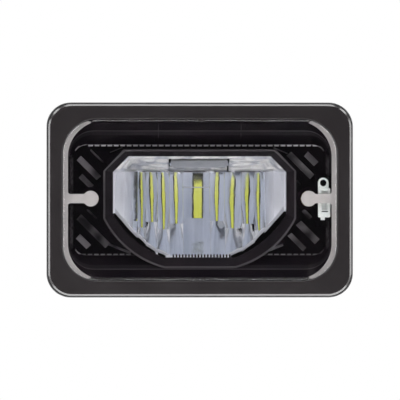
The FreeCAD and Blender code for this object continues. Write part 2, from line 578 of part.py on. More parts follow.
def make_bezel():
    body = new_body("inner_bezel")
    plate(body, "rim", draw_rounded, ("rim_width", "rim_height", "rim_radius"),
          "flange_level", "rim_level - flange_level")
    well_outer = ("well_back_width", "well_back_height", "well_back_radius")
    front = new_sketch(body, "skirt_front", "flange_level")
    draw_rounded(front, "skirt_width", "skirt_height", "skirt_radius")
    back = new_sketch(body, "skirt_back", "well_edge - well_wall")
    draw_rounded(back, *well_outer)
    loft(body, front, back)
    well_block = new_sketch(body, "well_block", "well_edge - well_wall")
    draw_rounded(well_block, *well_outer)
    pad(body, well_block, "well_edge - well_wall - bezel_back", rearwards=True)
    mouth = new_sketch(body, "slope_front", "rim_level")
    draw_rounded(mouth, "slope_width", "slope_height", "slope_radius")
    edge = new_sketch(body, "slope_back", "well_edge")
    draw_rounded(edge, "well_width", "well_height", "well_radius")
    loft(body, mouth, edge, cut=True)
    opening(body, "well", draw_rounded, ("well_width", "well_height", "well_radius"),
            "well_edge", "well_edge - well_floor")
    for corner, slats in LOUVRES.items():
        for number, slat in enumerate(slats, start=1):
            add_louvre(body, f"{corner}_{number}", *slat)
    collar = new_sketch(body, "collar", "bezel_back")
    draw_gate(collar, "collar", "collar_lip")
    pad(body, collar, "collar_level - bezel_back")
    for side, name in ((-1, "left"), (1, "right")):
        boss = new_sketch(body, f"boss_{name}", "bezel_back")
        draw_circle(boss, signed(side, "pad_x"), "pad_z", "boss_radius")
        pad(body, boss, "boss_level - bezel_back")
    plate(body, "tray", draw_rectangle, ("tray_left", "tray_right", "tray_low", "tray_top"),
          "well_floor", "tray_level - well_floor")
    hollow = new_sketch(body, "gate_front", "collar_level")
    draw_gate(hollow, "collar")
    throat = new_sketch(body, "gate_throat", "collar_level - collar_dish")
    draw_gate(throat, "gate")
    loft(body, hollow, throat, cut=True)
    gate = new_sketch(body, "gate", "collar_level - collar_dish")
    draw_gate(gate, "gate")
    pocket(body, gate, "collar_level - collar_dish - bezel_back")
    opening(body, "tray_room", draw_rectangle,
            ("tray_left + tray_wall", "tray_right - tray_wall", "tray_low + tray_wall",
             "tray_top - tray_wall"), "rim_level", "rim_level - tray_floor")
    centres = [("-pad_x", "pad_z"), ("pad_x", "pad_z")]
    cut_round_holes(body, "boss_bores", centres, "boss_bore", "rim_level",
                    "rim_level - boss_step")
    cut_round_holes(body, "barrel_holes", centres, "barrel_radius + screw_gap", "boss_step",
                    "boss_step - bezel_back + 1")
    rib = plate(body, "rib", draw_rectangle,
                ("rib_first_x", "rib_first_x + rib_long", "well_height / 2 - rib_thick",
                 "well_height / 2 + rib_thick"), "well_edge - rib_depth", "rib_depth")
    row_of(body, rib, "rib_pitch", "rib_count")
    for name in ("left", "right"):
        first = f"low_rib_{name}_x"
        low = plate(body, f"low_ribs_{name}", draw_rectangle,
                    (first, f"{first} + rib_long", "-well_height / 2 - rib_thick",
                     "rib_thick - well_height / 2"), "well_edge - rib_depth", "rib_depth")
        row_of(body, low, "rib_pitch", "low_rib_count")
    tooth = plate(body, "tooth", draw_rectangle,
                  ("tooth_first_x", "tooth_first_x + tooth_wide", "gate_foot_z - tooth_wide",
                   "gate_foot_z + tooth_tall"), "bezel_back", "well_wall")
    row_of(body, tooth, "tooth_pitch", "tooth_count")
    ears = new_sketch(body, "screw_bosses", "bezel_back")
    for x, z in corner_points("ear_x", "ear_z"):
        draw_circle(ears, x, z, "ear_radius")
    pad(body, ears, "ear_thick", rearwards=True)
    cut_round_holes(body, "screw_pilots", corner_points("ear_x", "ear_z"),
                    "small_core + screw_gap", "bezel_back - ear_thick", "ear_thick + 1",
                    forwards=True)
    return body


# ---------------------------------------------------------------- reflector
# Inner edge of each flute and the height where it breaks, from the middle outwards; the last
# pair on each side is the end panel's.
FLUTES = {-1: ((8.6, -13.0), (16.0, -16.0), (22.6, -12.0), (29.0, -15.0), (33.6, -11.5)),
          1: ((6.2, -11.5), (14.2, -15.5), (23.4, -13.0), (30.2, -16.5), (35.4, -12.0))}


def mirror_facets():
    """Facets as (x0, x1, height of the break, depth lost at x0 and at x1, bulge between)."""
    focal, half = amount("focal"), amount("mirror_half")
    centre_left, centre_right = -FLUTES[-1][0][0], FLUTES[1][0][0]
    facets = [(centre_left, centre_right, amount("break_z"), 0.0, 0.0, 0.0)]
    for side, flutes in FLUTES.items():
        edges = [edge for edge, _ in flutes]
        drop = [(edge ** 2 - edges[0] ** 2) / (4 * focal) for edge in edges]
        bulges = [2 * amount("flute_rise") * (end - start)
                  for start, end in zip(edges, edges[1:])] + [0.0]
        edges.append(half)
        drop.append(drop[-1] + (half - edges[-2]) * amount("side_slope"))
        for number, (_, bend_z) in enumerate(flutes):
            ends = [(side * edges[n], drop[n]) for n in (number, number + 1)]
            (x0, drop0), (x1, drop1) = sorted(ends)
            facets.append((x0, x1, bend_z, drop0, drop1, bulges[number]))
    return facets


def mirror_bands(tilts):
    """Parts of the mirror's profile as (z0, z1, depth at z0, at the middle pole and at z1).

    The profile is a parabola; each (height, tilt) bends it there and onwards, away from the
    part just below the light source.
    """
    focal, focus_y, focus_z = amount("focal"), amount("focus_y"), amount("focus_z")
    heights = [amount("mirror_low"), *(height for height, _ in tilts), amount("mirror_high")]

    def bend(z):
        return sum(tilt * max(0.0, abs(z) - abs(height)) for height, tilt in tilts
                   if z * height > 0)

    def depth(z):
        return focus_y + focal - (z - focus_z) ** 2 / (4 * focal) + bend(z)

    bands = []
    for low, high in zip(heights, heights[1:]):
        middle = (low + high) / 2
        pole = 2 * depth(middle) - (depth(low) + depth(high)) / 2
        bands.append((low, high, depth(low), pole, depth(high)))
    return bands


def mirror_prisms(shift):
    """Everything in front of the mirror surface (moved back by shift), as one solid.

    Flutes bulge most at their top and at their break, so the images in them taper there.
    """
    reach, pinch, waist = amount("mirror_reach"), amount("flute_pinch"), amount("flute_waist")
    prisms = []
    for x0, x1, bend_z, drop0, drop1, bulge in mirror_facets():
        tilts = [(bend_z, amount("break_tilt"))]
        if x0 < 0 < x1:
            tilts.append((amount("insert_z"), amount("insert_tilt")))
        for number, (z0, z1, *along) in enumerate(mirror_bands(tilts)):
            growth = (pinch, waist, pinch) if number else (1.0, 1.0, pinch)
            patch = Part.BezierSurface()
            patch.increase(2, 2)
            for j, z in enumerate((z0, (z0 + z1) / 2, z1)):
                crown = (drop0 + drop1) / 2 + bulge * growth[j]
                across = (x0, drop0), ((x0 + x1) / 2, crown), (x1, drop1)
                for i, (x, lost) in enumerate(across):
                    patch.setPole(i + 1, j + 1, Vector(x, along[j] - lost + shift, z))
            prisms.append(outward(patch.toShape().extrude(Vector(0, -reach, 0))))
    return prisms[0].multiFuse(prisms[1:]).removeSplitter()


def gate_wire(kind, margin, y):
    """The gate's outline, or the narrower cup behind it, grown by a margin at depth y."""
    side_x, shoulder_z = amount(f"{kind}_side_x"), amount(f"{kind}_shoulder_z")
    top_x, top_z = amount(f"{kind}_top_x"), amount(f"{kind}_top_z")
    slant = 0.4 * margin
    right = [(amount("gate_foot_x"), amount("gate_foot_z") - margin),
             (side_x + margin, amount("gate_side_z")),
             (side_x + margin, shoulder_z + slant), (top_x + slant, top_z + margin)]
    points = [Vector(x, y, z) for x, z in right]
    points += [Vector(-x, y, z) for x, z in reversed(right)]
    bend = amount("gate_bend")
    edges = []
    for number, start in enumerate(points):
        end = points[(number + 1) % len(points)]
        if number in (0, 6):
            chord = end - start
            sagitta = bend - math.sqrt(bend ** 2 - (chord.Length / 2) ** 2)
            outwards = Vector(chord.z, 0, -chord.x).normalize()
            edges.append(Part.Arc(start, (start + end) / 2 + outwards * sagitta, end).toShape())
        else:
            edges.append(Part.LineSegment(start, end).toShape())
    return Part.Wire(edges)


def outward(solid):
    """The same solid, with its faces turned outwards."""
    if solid.Volume < 0:
        solid.reverse()
    return solid


def make_reflector():
    """Fluted mirror cup: faceted funnel walls closed behind by the mirror surface."""
    margin, thick = amount("cup_margin"), amount("mirror_thick")
    front, back, lip_y = amount("cup_front"), amount("cup_back"), amount("cup_front + lip_depth")
    mouth = gate_wire("gate", margin - amount("lip_inset"), lip_y)
    inner = outward(Part.makeLoft([mouth, gate_wire("cup", 0.0, back)], True, True))
    lip = outward(Part.makeLoft([gate_wire("gate", margin, front), mouth], True, True))
    outer = outward(Part.makeLoft([gate_wire("gate", margin + thick, front),
                                   gate_wire("cup", thick, back)], True, True))
    body = outer.common(mirror_prisms(thick))
    ears = [(x_sign * amount("ear_x"), z_sign * amount("ear_z"), x_sign)
            for x_sign in (-1, 1) for z_sign in (-1, 1)]
    ear_y, ear_thick = amount("-bezel_back + ear_thick"), amount("ear_thick")
    rearwards = Vector(0, 1, 0)
    for x, z, x_sign in ears:
        radius, reach = amount("ear_radius"), amount("ear_reach")
        ear = Part.makeCylinder(radius, ear_thick, Vector(x, ear_y, z), rearwards)
        arm = Part.makeBox(reach, ear_thick, radius * 2,
                           Vector(min(x, x - x_sign * reach), ear_y, z - radius))
        body = body.fuse([ear, arm])
    body = body.cut(inner.common(mirror_prisms(0.0))).cut(lip)
    slot = Part.makeBox(amount("slot_half") * 2, amount("slot_back - slot_front"),
                        amount("slot_tall"),
                        Vector(-amount("slot_half"), amount("slot_front"), amount("slot_low")))
    body = body.cut(slot)
    for x, z, _ in ears:
        body = body.cut(Part.makeCylinder(amount("ear_hole"), 2 * ear_thick,
                                          Vector(x, ear_y - ear_thick / 2, z), rearwards))
    solid = max(body.removeSplitter().Solids, key=lambda item: item.Volume)
    feature = document.addObject("Part::Feature", "reflector")
    feature.Label = "reflector"
    feature.Shape = solid
    feature.Placement = Placement()
    return feature


# ---------------------------------------------------------------- primitives along Y
def rod(name, radius, length, x, y, z):
    """Round bar pointing rearwards from (x, y, z)."""
    bar = document.addObject("Part::Cylinder", name)
    bind(bar, Radius=radius, Height=length)
    bar.Placement = Placement(Vector(0, 0, 0), Rotation(Vector(1, 0, 0), -90))
    place(bar, x, y, z)
    return bar


def upright_rod(name, radius, length, x, y, z):
    """Round bar pointing up from (x, y, z)."""
    bar = document.addObject("Part::Cylinder", name)
    bind(bar, Radius=radius, Height=length)
    place(bar, x, y, z)
    return bar


def block(name, long, deep, tall, x, y, z):
    """Box from its lowest corner (x, y, z)."""
    box = document.addObject("Part::Box", name)
    bind(box, Length=long, Width=deep, Height=tall)
    place(box, x, y, z)
    return box


def joined(label, shapes):
    fuse = document.addObject("Part::MultiFuse", label)
    fuse.Shapes = shapes
    fuse.Refine = True
    fuse.Label = label
    return fuse


def less(label, base, tools):
    """Base minus the tools, which are joined first where there are several."""
    tool = tools[0] if len(tools) == 1 else joined(f"{label}_cutter", tools)
    cut = document.addObject("Part::Cut", label)
    cut.Base, cut.Tool = base, tool
    cut.Refine = True
    cut.Label = label
    return cut


def group(label, shapes):
    """Separate solids kept in one node."""
    compound = document.addObject("Part::Compound", label)
    compound.Links = shapes
    compound.Label = label
    return compound


def screws(label, centres, core, head, head_thick, seat, reach, rearward_head=True):
    """Round-headed screws along Y, with a blind drive recess: the heads bear on the seat."""
    made = []
    for number, (x, z) in enumerate(centres, start=1):
        name = f"{label}_{number}"
        head_y = seat if rearward_head else f"{seat} - {head_thick}"
        shank_y = minus(seat, reach) if rearward_head else seat
        drive_y = f"{seat} + {head_thick} / 2" if rearward_head else f"{seat} - {head_thick}"
        whole = joined(f"{name}_blank", [
            rod(f"{name}_head", head, head_thick, x, head_y, z),
            rod(f"{name}_shank", core, reach, x, shank_y, z)])
        drive = document.addObject("Part::Prism", f"{name}_drive")
        drive.Polygon = 6
        bind(drive, Circumradius=f"{core} / 1.2", Height=f"{head_thick} / 2")
        drive.Placement = Placement(Vector(0, 0, 0), Rotation(Vector(1, 0, 0), -90))
        place(drive, x, drive_y, z)
        made.append(less(name, whole, [drive]))
    return group(label, made)


# ---------------------------------------------------------------- contacts and sensor
def make_contact(side, name):
    """Sprung contact: barrel clipped in the bezel, plunger, coil spring and rear plug."""
    x, z = signed(side, "pad_x"), "pad_z"
    sleeve = joined(f"barrel_blank_{name}", [
        rod(f"barrel_tube_{name}", "barrel_radius", "barrel_front - barrel_back",
            x, "-barrel_front", z),
        rod(f"barrel_collar_{name}", "barrel_flange", "barrel_flange_thick",
            x, "-boss_step - barrel_flange_thick", z)])
    barrel = less(f"contact_barrel_{name}", sleeve, [
        rod(f"barrel_hollow_{name}", "barrel_bore", "barrel_front - barrel_lip - barrel_back",
            x, "barrel_lip - barrel_front", z),
        rod(f"barrel_mouth_{name}", "barrel_mouth", "barrel_lip", x, "-barrel_front", z)])
    tip_y = "film_thick + bar_thick + pin_gap - lens_back"
    collar_y = "barrel_lip - barrel_front + pin_shoulder"
    shank = rod(f"pin_shank_{name}", "pin_radius", minus(collar_y, tip_y), x, tip_y, z)
    rounded = document.addObject("Part::Fillet", f"pin_tip_{name}")
    rounded.Base = shank
    document.recompute()
    front = [number for number, edge in enumerate(shank.Shape.Edges, start=1)
             if abs(edge.BoundBox.YMax - amount(tip_y)) < 0.01]
    rounded.Edges = [(number, amount("pin_round"), amount("pin_round")) for number in front]
    plunger = joined(f"contact_plunger_{name}", [
        rounded, rod(f"pin_collar_{name}", "pin_collar", "pin_collar_thick", x, collar_y, z)])
    plug = joined(f"contact_plug_{name}", [
        rod(f"plug_disc_{name}", "barrel_bore", "plug_thick",
            x, "-barrel_back - plug_thick", z),
        rod(f"plug_tail_{name}", "plug_tail", "plug_tail_long", x, "-barrel_back", z)])
    start = amount(f"{collar_y} + pin_collar_thick")
    end = amount("-barrel_back - plug_thick")
    return [barrel, plunger, plug, make_spring(f"contact_spring_{name}", x, z, start, end)]


def make_spring(label, x, z, start, end):
    """Round-wire compression spring between two depths."""
    wire, mean = amount("spring_wire"), amount("spring_mean")
    span = end - start - 2 * wire
    helix = Part.makeHelix(span / amount("spring_turns"), span, mean)
    profile = Part.Wire(Part.Circle(Vector(mean, 0, 0), Vector(0, 1, 0), wire).toShape())
    coil = Part.Wire(helix).makePipeShell([profile], True, True)
    feature = document.addObject("Part::Feature", label)
    feature.Label = label
    feature.Shape = coil
    turn = Rotation(Vector(1, 0, 0), -90)
    feature.Placement = Placement(Vector(amount(x), start + wire, amount(z)), turn)
    return feature


def make_sensor():
    """Moulded temperature sensor: a dished body with a screw eye above it and a nub below."""
    body = new_body("temperature_sensor")
    sketch = new_sketch(body, "body", "sensor_back")
    draw_rectangle(sketch, "sensor_left", "sensor_right", "sensor_low", "sensor_top")
    pad(body, sketch, "sensor_front - sensor_back")
    corners = ("sensor_left", "sensor_right")
    soften(body, "Fillet", "sensor_corner", lambda edge: edge.BoundBox.YLength > 3.0
           and any(abs(edge.CenterOfMass.x - amount(x)) < 0.01 for x in corners))
    eye = new_sketch(body, "eye", "sensor_back")
    draw_circle(eye, "eye_x", "eye_z", "eye_radius")
    pad(body, eye, "eye_front - sensor_back")
    plate(body, "neck", draw_rectangle,
          ("eye_x - eye_radius", "eye_x + eye_radius", "sensor_top - sensor_corner", "eye_z"),
          "sensor_back", "eye_front - sensor_back")
    plate(body, "nub", draw_rectangle,
          ("nub_left", "nub_right", "nub_low", "sensor_low + sensor_corner"),
          "sensor_back", "eye_front - sensor_back")
    cut_round_holes(body, "eye_hole", [("eye_x", "eye_z")], "eye_hole", "sensor_front",
                    "sensor_front - sensor_back")
    opening(body, "dish", draw_rectangle, ("dish_left", "dish_right", "dish_low", "dish_top"),
            "sensor_front", "dish_depth")
    opening(body, "notch", draw_rectangle,
            ("dish_left", "dish_right", "notch_z - notch_half", "notch_z + notch_half"),
            "sensor_front", "dish_depth")
    return body


# ---------------------------------------------------------------- light source
def make_light():
    top = "plate_low"
    board_low = "plate_low - board_thick"
    slab = block("spreader_slab", "plate_half * 2", "bottom_depth - plate_front - pad_thick",
                 "plate_thick", "-plate_half", "plate_front", top)
    upright = block("spreader_upright", "plate_half * 2", "upright_thick",
                    "upright_top - plate_low", "-plate_half",
                    "bottom_depth - pad_thick - upright_thick", top)
    holes = [rod(f"spreader_hole_{side}", "ear_hole", "bottom_depth", f"{side}spreader_screw_x",
                 "plate_front", "spreader_screw_z") for side in ("-", "")]
    holes += [upright_rod(f"spreader_tap_{side}", "small_core + screw_gap", "small_bite",
                          f"{side}led_screw_x", "led_screw_y", top) for side in ("-", "")]
    spreader = less("heat_spreader", joined("spreader_blank", [slab, upright]), holes)
    sheet_blank = block("thermal_sheet", "plate_half * 2", "pad_thick",
                        "upright_top - plate_low", "-plate_half", "bottom_depth - pad_thick", top)
    pad_holes = [rod(f"thermal_hole_{side}", "ear_hole", "bottom_depth", f"{side}spreader_screw_x",
                     "plate_front", "spreader_screw_z") for side in ("-", "")]
    thermal = less("thermal_pad", sheet_blank, pad_holes)
    spreader_screws = screws(
        "spreader_screws", [("-spreader_screw_x", "spreader_screw_z"),
                            ("spreader_screw_x", "spreader_screw_z")],
        "small_core", "small_head", "small_head_thick",
        "bottom_depth - pad_thick - upright_thick", "upright_thick + pad_thick + spreader_screw_bite",
        rearward_head=False)
    board = block("led_board_blank", "board_half * 2", "board_back - board_front", "board_thick",
                  "-board_half", "board_front", board_low)
    centres = [("-led_screw_x", "led_screw_y"), ("led_screw_x", "led_screw_y")]
    board = less("led_board", board, [
        upright_rod(f"board_hole_{number}", "small_core + screw_gap", "board_thick", x, y,
                    board_low) for number, (x, y) in enumerate(centres)])
    board_screws = group("led_board_screws", [
        joined(f"board_screw_{number}", [
            upright_rod(f"board_shank_{number}", "small_core",
                        "board_thick + small_bite - screw_end_gap", x, y, board_low),
            upright_rod(f"board_head_{number}", "small_head", "small_head_thick", x, y,
                        f"{board_low} - small_head_thick")])
        for number, (x, y) in enumerate(centres)])
    chip = block("led_package", "chip_wide", "chip_long", "chip_thick", "-chip_wide / 2",
                 "focus_y - chip_long / 2", f"{board_low} - chip_thick")
    chip.Label = "led_package"
    glow = block("led_phosphor", "glow_wide", "glow_long", "glow_thick", "-glow_wide / 2",
                 "focus_y - glow_long / 2", f"{board_low} - chip_thick - glow_thick")
    glow.Label = "led_phosphor"
    body = new_body("led_shield")
    half, cut = "shield_half", "shield_cut"
    sketch = new_sketch(body, "face", "-shield_front - shield_thick")
    draw_outline(sketch, [
        (f"{cut} - {half}", "shield_low"), (f"{half} - {cut}", "shield_low"),
        (half, f"shield_low + {cut}"), (half, "shield_high"),
        (f"-{half}", "shield_high"), (f"-{half}", f"shield_low + {cut}")])
    pad(body, sketch, "shield_thick")
    return [spreader, thermal, spreader_screws, board, board_screws, chip, glow, body]


# ---------------------------------------------------------------- driver and terminals
def make_driver():
    body = new_body("driver_board")
    plate(body, "card", draw_rounded, ("card_width", "card_height", "card_radius"),
          "-post_end", "card_thick", rearwards=True)
    cut_round_holes(body, "holes", POSTS, "ear_hole", "-post_end", "card_thick")
    cut_round_holes(body, "lead_holes", LEAD_HOLES.values(), "lead_radius + screw_gap",
                    "-post_end", "card_thick")
    face = "post_end + card_thick"
    coil = new_body("driver_inductor")
    sketch = new_sketch(coil, "core", "-post_end - card_thick")
    half = "coil_size / 2"
    draw_rectangle(sketch, f"coil_x - {half}", f"coil_x + {half}",
                   f"coil_z - {half}", f"coil_z + {half}")
    pad(coil, sketch, "coil_tall", rearwards=True)
    soften(coil, "Chamfer", "coil_corner", lambda edge: edge.BoundBox.YLength > 3.0)
    cans = group("driver_capacitors", [
        rod(f"capacitor_{number}", "can_radius", "can_tall", "can_x", face,
            f"can_z - can_pitch * {number}") for number in range(2)])
    switch = block("driver_transistor", "switch_wide", "switch_tall", "switch_deep",
                   "switch_x - switch_wide / 2", face, "switch_z - switch_deep / 2")
    switch.Label = "driver_transistor"
    card_screws = screws("driver_screws", POSTS, "small_core", "small_head",
                         "small_head_thick", face, "card_thick + card_screw_bite")
    return [body, coil, cans, switch, card_screws]


BLADES = {
    "terminal_ground": ("0", "blade_top_z", True),
    "terminal_low_beam": ("-blade_side_x", "blade_side_z", False),
    "terminal_high_beam": ("blade_side_x", "blade_side_z", False),
}


def blade_sketch(body, name, level, x, z, flat):
    sketch = new_sketch(body, name, level)
    wide, thin = "blade_wide / 2", "blade_thick / 2"
    if flat:
        draw_rectangle(sketch, signed(-1, wide), wide, f"{z} - {thin}", f"{z} + {thin}")
    else:
        low, high = f"{z} - blade_wide / 2", f"{z} + blade_wide / 2"
        draw_rectangle(sketch, f"{x} - {thin}", f"{x} + {thin}", low, high)
    return sketch


def make_blade(label, x, z, flat):
    """Spade terminal, 8 mm by 0.8 mm, with its leading edges chamfered."""
    body = new_body(label)
    sketch = blade_sketch(body, "blade", "-blade_inner", x, z, flat)
    pad(body, sketch, "blade_outer - blade_inner", rearwards=True)
    outer = -amount("blade_outer")
    soften(body, "Chamfer", "blade_taper", lambda edge: at_level(edge, outer))
    return body


def make_terminal_block():
    body = new_body("terminal_block")
    plate(body, "inner", draw_rounded, ("block_width", "block_height", "block_radius"),
          "-block_inner", "block_outer - block_inner", rearwards=True)
    plate(body, "flange", draw_rounded,
          ("block_flange_width", "block_flange_height", "block_flange_radius"),
          "-case_end - seal_thick - cover_thick - block_seal", "block_flange_thick",
          rearwards=True)
    for label, (x, z, flat) in BLADES.items():
        slot = blade_sketch(body, f"slot_{label}", "-block_inner", x, z, flat)
        pocket(body, slot, "block_outer - block_inner + 1")
    outer = -amount("block_outer")
    soften(body, "Chamfer", "block_edge", lambda edge: at_level(edge, outer)
           and reaches(edge, amount("block_width / 2 - 0.1"), amount("block_height / 2 - 0.1")))
    return body


def make_vent():
    """Breather vent: stem through the cover, under a mushroom cap with air slots."""
    cover_out = "case_end + seal_thick + cover_thick"
    blank = joined("vent_blank", [
        rod("vent_stem", "vent_hole - screw_gap", "cover_thick + vent_bite", "vent_x",
            "case_end + seal_thick", "vent_z"),
        rod("vent_head", "vent_cap", "vent_cap_thick", "vent_x", cover_out, "vent_z")])
    slots = [block("vent_slot_x", "vent_cap * 2 + 2", "vent_slot", "vent_slot",
                   "vent_x - vent_cap - 1", cover_out, "vent_z - vent_slot / 2"),
             block("vent_slot_z", "vent_slot", "vent_slot", "vent_cap * 2 + 2",
                   "vent_x - vent_slot / 2", cover_out, "vent_z - vent_cap - 1")]
    return less("breather_vent", blank, slots)


# ---------------------------------------------------------------- leads
LEAD_HOLES = {
    "led_lead": ("24", "12"),
    "heater_lead_left": ("-26", "pad_z"),
    "heater_lead_right": ("27", "pad_z"),
    "sensor_lead": ("27", "-8"),
}


def lead_routes():
    """Each lead's turning points, from its component back to the driver board."""
    tail = amount("-barrel_back + plug_tail_long + lead_gap")
    contact_x, contact_z = amount("pad_x"), amount("pad_z")
    bend = amount("bottom_depth - lead_straight")
    end = amount("post_end + card_thick + lead_stub")
    routes = {
        "led_lead": [(15.4, 33.0, 20.4), (19.5, 33.5, 27.0), (24.0, 40.5, 25.0)],
        "heater_lead_left": [(-contact_x, tail, contact_z), (-54.0, 31.0, contact_z)],
        "heater_lead_right": [(contact_x, tail, contact_z), (54.0, 31.0, contact_z)],
        "sensor_lead": [(66.3, amount("-bezel_back + lead_gap * 2"), -8.0), (57.0, 29.0, -8.0)],
    }
    for name, (x, z) in LEAD_HOLES.items():
        x, z = amount(x), amount(z)
        routes[name] += [(x, bend, z), (x, end, z)]
    return {name: [Vector(*point) for point in route] for name, route in routes.items()}


def make_lead(label, points):
    """Insulated wire along straight runs joined by tangent arcs."""
    edges, last = [], points[0]
    for before, corner, after in zip(points, points[1:], points[2:]):
        run_in, run_out = corner - before, after - corner
        turn = run_in.getAngle(run_out)
        reach = 0.42 * min(run_in.Length, run_out.Length)
        start = corner - run_in * (reach / run_in.Length)
        finish = corner + run_out * (reach / run_out.Length)
        radius = reach / math.tan(turn / 2)
        centre_side = (start - corner).normalize() + (finish - corner).normalize()
        centre = corner + centre_side.normalize() * (radius / math.cos(turn / 2))
        middle = centre + (corner - centre).normalize() * radius
        edges += [Part.LineSegment(last, start).toShape(),
                  Part.Arc(start, middle, finish).toShape()]
        last = finish
    edges.append(Part.LineSegment(last, points[-1]).toShape())
    path = Part.Wire(edges)
    direction = points[1] - points[0]
    profile = Part.Wire(Part.Circle(points[0], direction, amount("lead_radius")).toShape())
    tube = path.makePipeShell([profile], True, True)
    feature = document.addObject("Part::Feature", label)
    feature.Label = label
    feature.Shape = tube
    feature.Placement = Placement()
    return feature


def make_grommets():
    """Rubber bushes that seal the leads where they pass through the back wall."""
    made = []
    wall_front, wall_back = "bottom_depth", "case_floor"
    for name, (x, z) in LEAD_HOLES.items():
        bush = joined(f"grommet_blank_{name}", [
            rod(f"grommet_body_{name}", "lead_hole", "case_floor - bottom_depth",
                x, wall_front, z),
            rod(f"grommet_rim_{name}", "grommet_lip", "grommet_lip_thick", x, wall_back, z)])
        made.append(less(f"grommet_{name}", bush, [
            rod(f"grommet_bore_{name}", "lead_radius + screw_gap",
                "case_floor - bottom_depth + grommet_lip_thick + 2", x, "bottom_depth - 1", z)]))
    return group("lead_grommets", made)


# ---------------------------------------------------------------- assembly
def build():
    cover_out = "case_end + seal_thick + cover_thick"
    corners = corner_points("case_screw_x", "case_screw_z")
    nodes = [make_housing(), make_frame(), make_lens(), make_heater_film(),
             make_busbar("busbar_left", -1), make_busbar("busbar_right", 1), make_bezel(),
             make_reflector(), make_sensor(), make_rear_cover(), make_terminal_block(),
             make_vent(), make_grommets()]
    nodes.append(make_ring(
        "lens_seal", ("lens_width", "lens_height", "lens_radius"),
        ("seal_inner_width", "seal_inner_height", "seal_inner_radius"),
        "flange_level", "lens_back - flange_level"))
    nodes.append(make_ring(
        "cover_seal", ("case_width", "case_height", "case_radius"),
        ("case_inner_width", "case_inner_height", "case_inner_radius"),
        "-case_end - seal_thick", "seal_thick", corners, "cover_hole"))
    nodes.append(make_ring(
        "terminal_seal", ("block_flange_width", "block_flange_height", "block_flange_radius"),
        ("port_width", "port_height", "port_radius"),
        minus(signed(-1, cover_out), "block_seal"), "block_seal"))
    nodes.append(screws("frame_screws", corner_points("frame_screw_x", "frame_screw_z"),
                        "screw_core", "frame_head", "frame_head_depth", "-frame_head_depth",
                        "flange_level + frame_pilot_depth - frame_head_depth"
                        " - frame_screw_spare"))
    nodes.append(screws("cover_screws", corners, "screw_core", "cover_sink - screw_gap",
                        "sink_depth", f"{cover_out} - sink_depth", "cover_screw_reach"))
    ears = corner_points("ear_x", "ear_z")
    nodes.append(screws("reflector_screws", ears, "small_core", "small_head",
                        "small_head_thick", "ear_thick * 2 - bezel_back",
                        "ear_thick + card_screw_bite"))
    nodes += make_light() + make_driver()
    nodes += [make_blade(label, *place_of) for label, place_of in BLADES.items()]
    nodes += make_contact(-1, "left") + make_contact(1, "right")
    nodes += [make_lead(name, route) for name, route in lead_routes().items()]
    return nodes


def check_and_write(nodes):
    document.recompute()
    faults = [item.Name for item in document.Objects
              if any(word in item.State for word in ("Invalid", "Error"))]
    for node in nodes:
        shape = node.Shape
        if shape.isNull() or not shape.isValid() or shape.Volume <= 0 or not shape.Solids:
            faults.append(f"{node.Label} has no valid solid")
    if faults:
        raise RuntimeError("; ".join(faults))
    os.makedirs("parts", exist_ok=True)
    for node in nodes:
        node.Shape.exportStep(f"parts/{node.Label}.step")
        box = node.Shape.BoundBox
        print(f"{node.Label:24s} solids {len(node.Shape.Solids)} volume {node.Shape.Volume:10.1f} "
              f"x {box.XMin:7.2f} {box.XMax:7.2f} y {box.YMin:7.2f} {box.YMax:7.2f} "
              f"z {box.ZMin:7.2f} {box.ZMax:7.2f}")


check_and_write(build())
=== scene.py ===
import json
import math

import bpy
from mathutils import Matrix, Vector


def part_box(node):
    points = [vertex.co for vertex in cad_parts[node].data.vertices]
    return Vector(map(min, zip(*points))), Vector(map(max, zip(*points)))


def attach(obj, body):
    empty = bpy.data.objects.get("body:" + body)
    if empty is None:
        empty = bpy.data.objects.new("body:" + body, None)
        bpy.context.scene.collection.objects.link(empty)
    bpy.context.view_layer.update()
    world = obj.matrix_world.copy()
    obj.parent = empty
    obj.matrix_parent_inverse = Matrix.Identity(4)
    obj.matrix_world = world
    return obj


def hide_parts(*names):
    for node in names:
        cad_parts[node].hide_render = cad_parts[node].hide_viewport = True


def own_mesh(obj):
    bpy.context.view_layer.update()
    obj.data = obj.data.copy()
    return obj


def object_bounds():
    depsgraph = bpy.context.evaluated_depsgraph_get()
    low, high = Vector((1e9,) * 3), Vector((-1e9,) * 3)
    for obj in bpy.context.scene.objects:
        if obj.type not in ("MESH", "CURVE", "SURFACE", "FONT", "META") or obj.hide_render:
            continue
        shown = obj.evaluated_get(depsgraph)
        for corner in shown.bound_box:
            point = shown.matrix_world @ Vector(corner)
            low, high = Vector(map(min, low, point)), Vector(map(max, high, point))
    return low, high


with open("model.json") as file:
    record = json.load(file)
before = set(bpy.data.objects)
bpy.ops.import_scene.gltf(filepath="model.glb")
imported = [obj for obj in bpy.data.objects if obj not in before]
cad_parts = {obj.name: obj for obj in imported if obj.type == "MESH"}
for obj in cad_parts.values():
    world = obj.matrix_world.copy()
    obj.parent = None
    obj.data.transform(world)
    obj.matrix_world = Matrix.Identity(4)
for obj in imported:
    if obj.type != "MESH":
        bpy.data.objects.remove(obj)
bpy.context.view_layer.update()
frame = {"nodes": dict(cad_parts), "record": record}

MM = 0.001
SLOTS = {item["node"]: item["material_slot"] for item in frame["record"]["subparts"]}


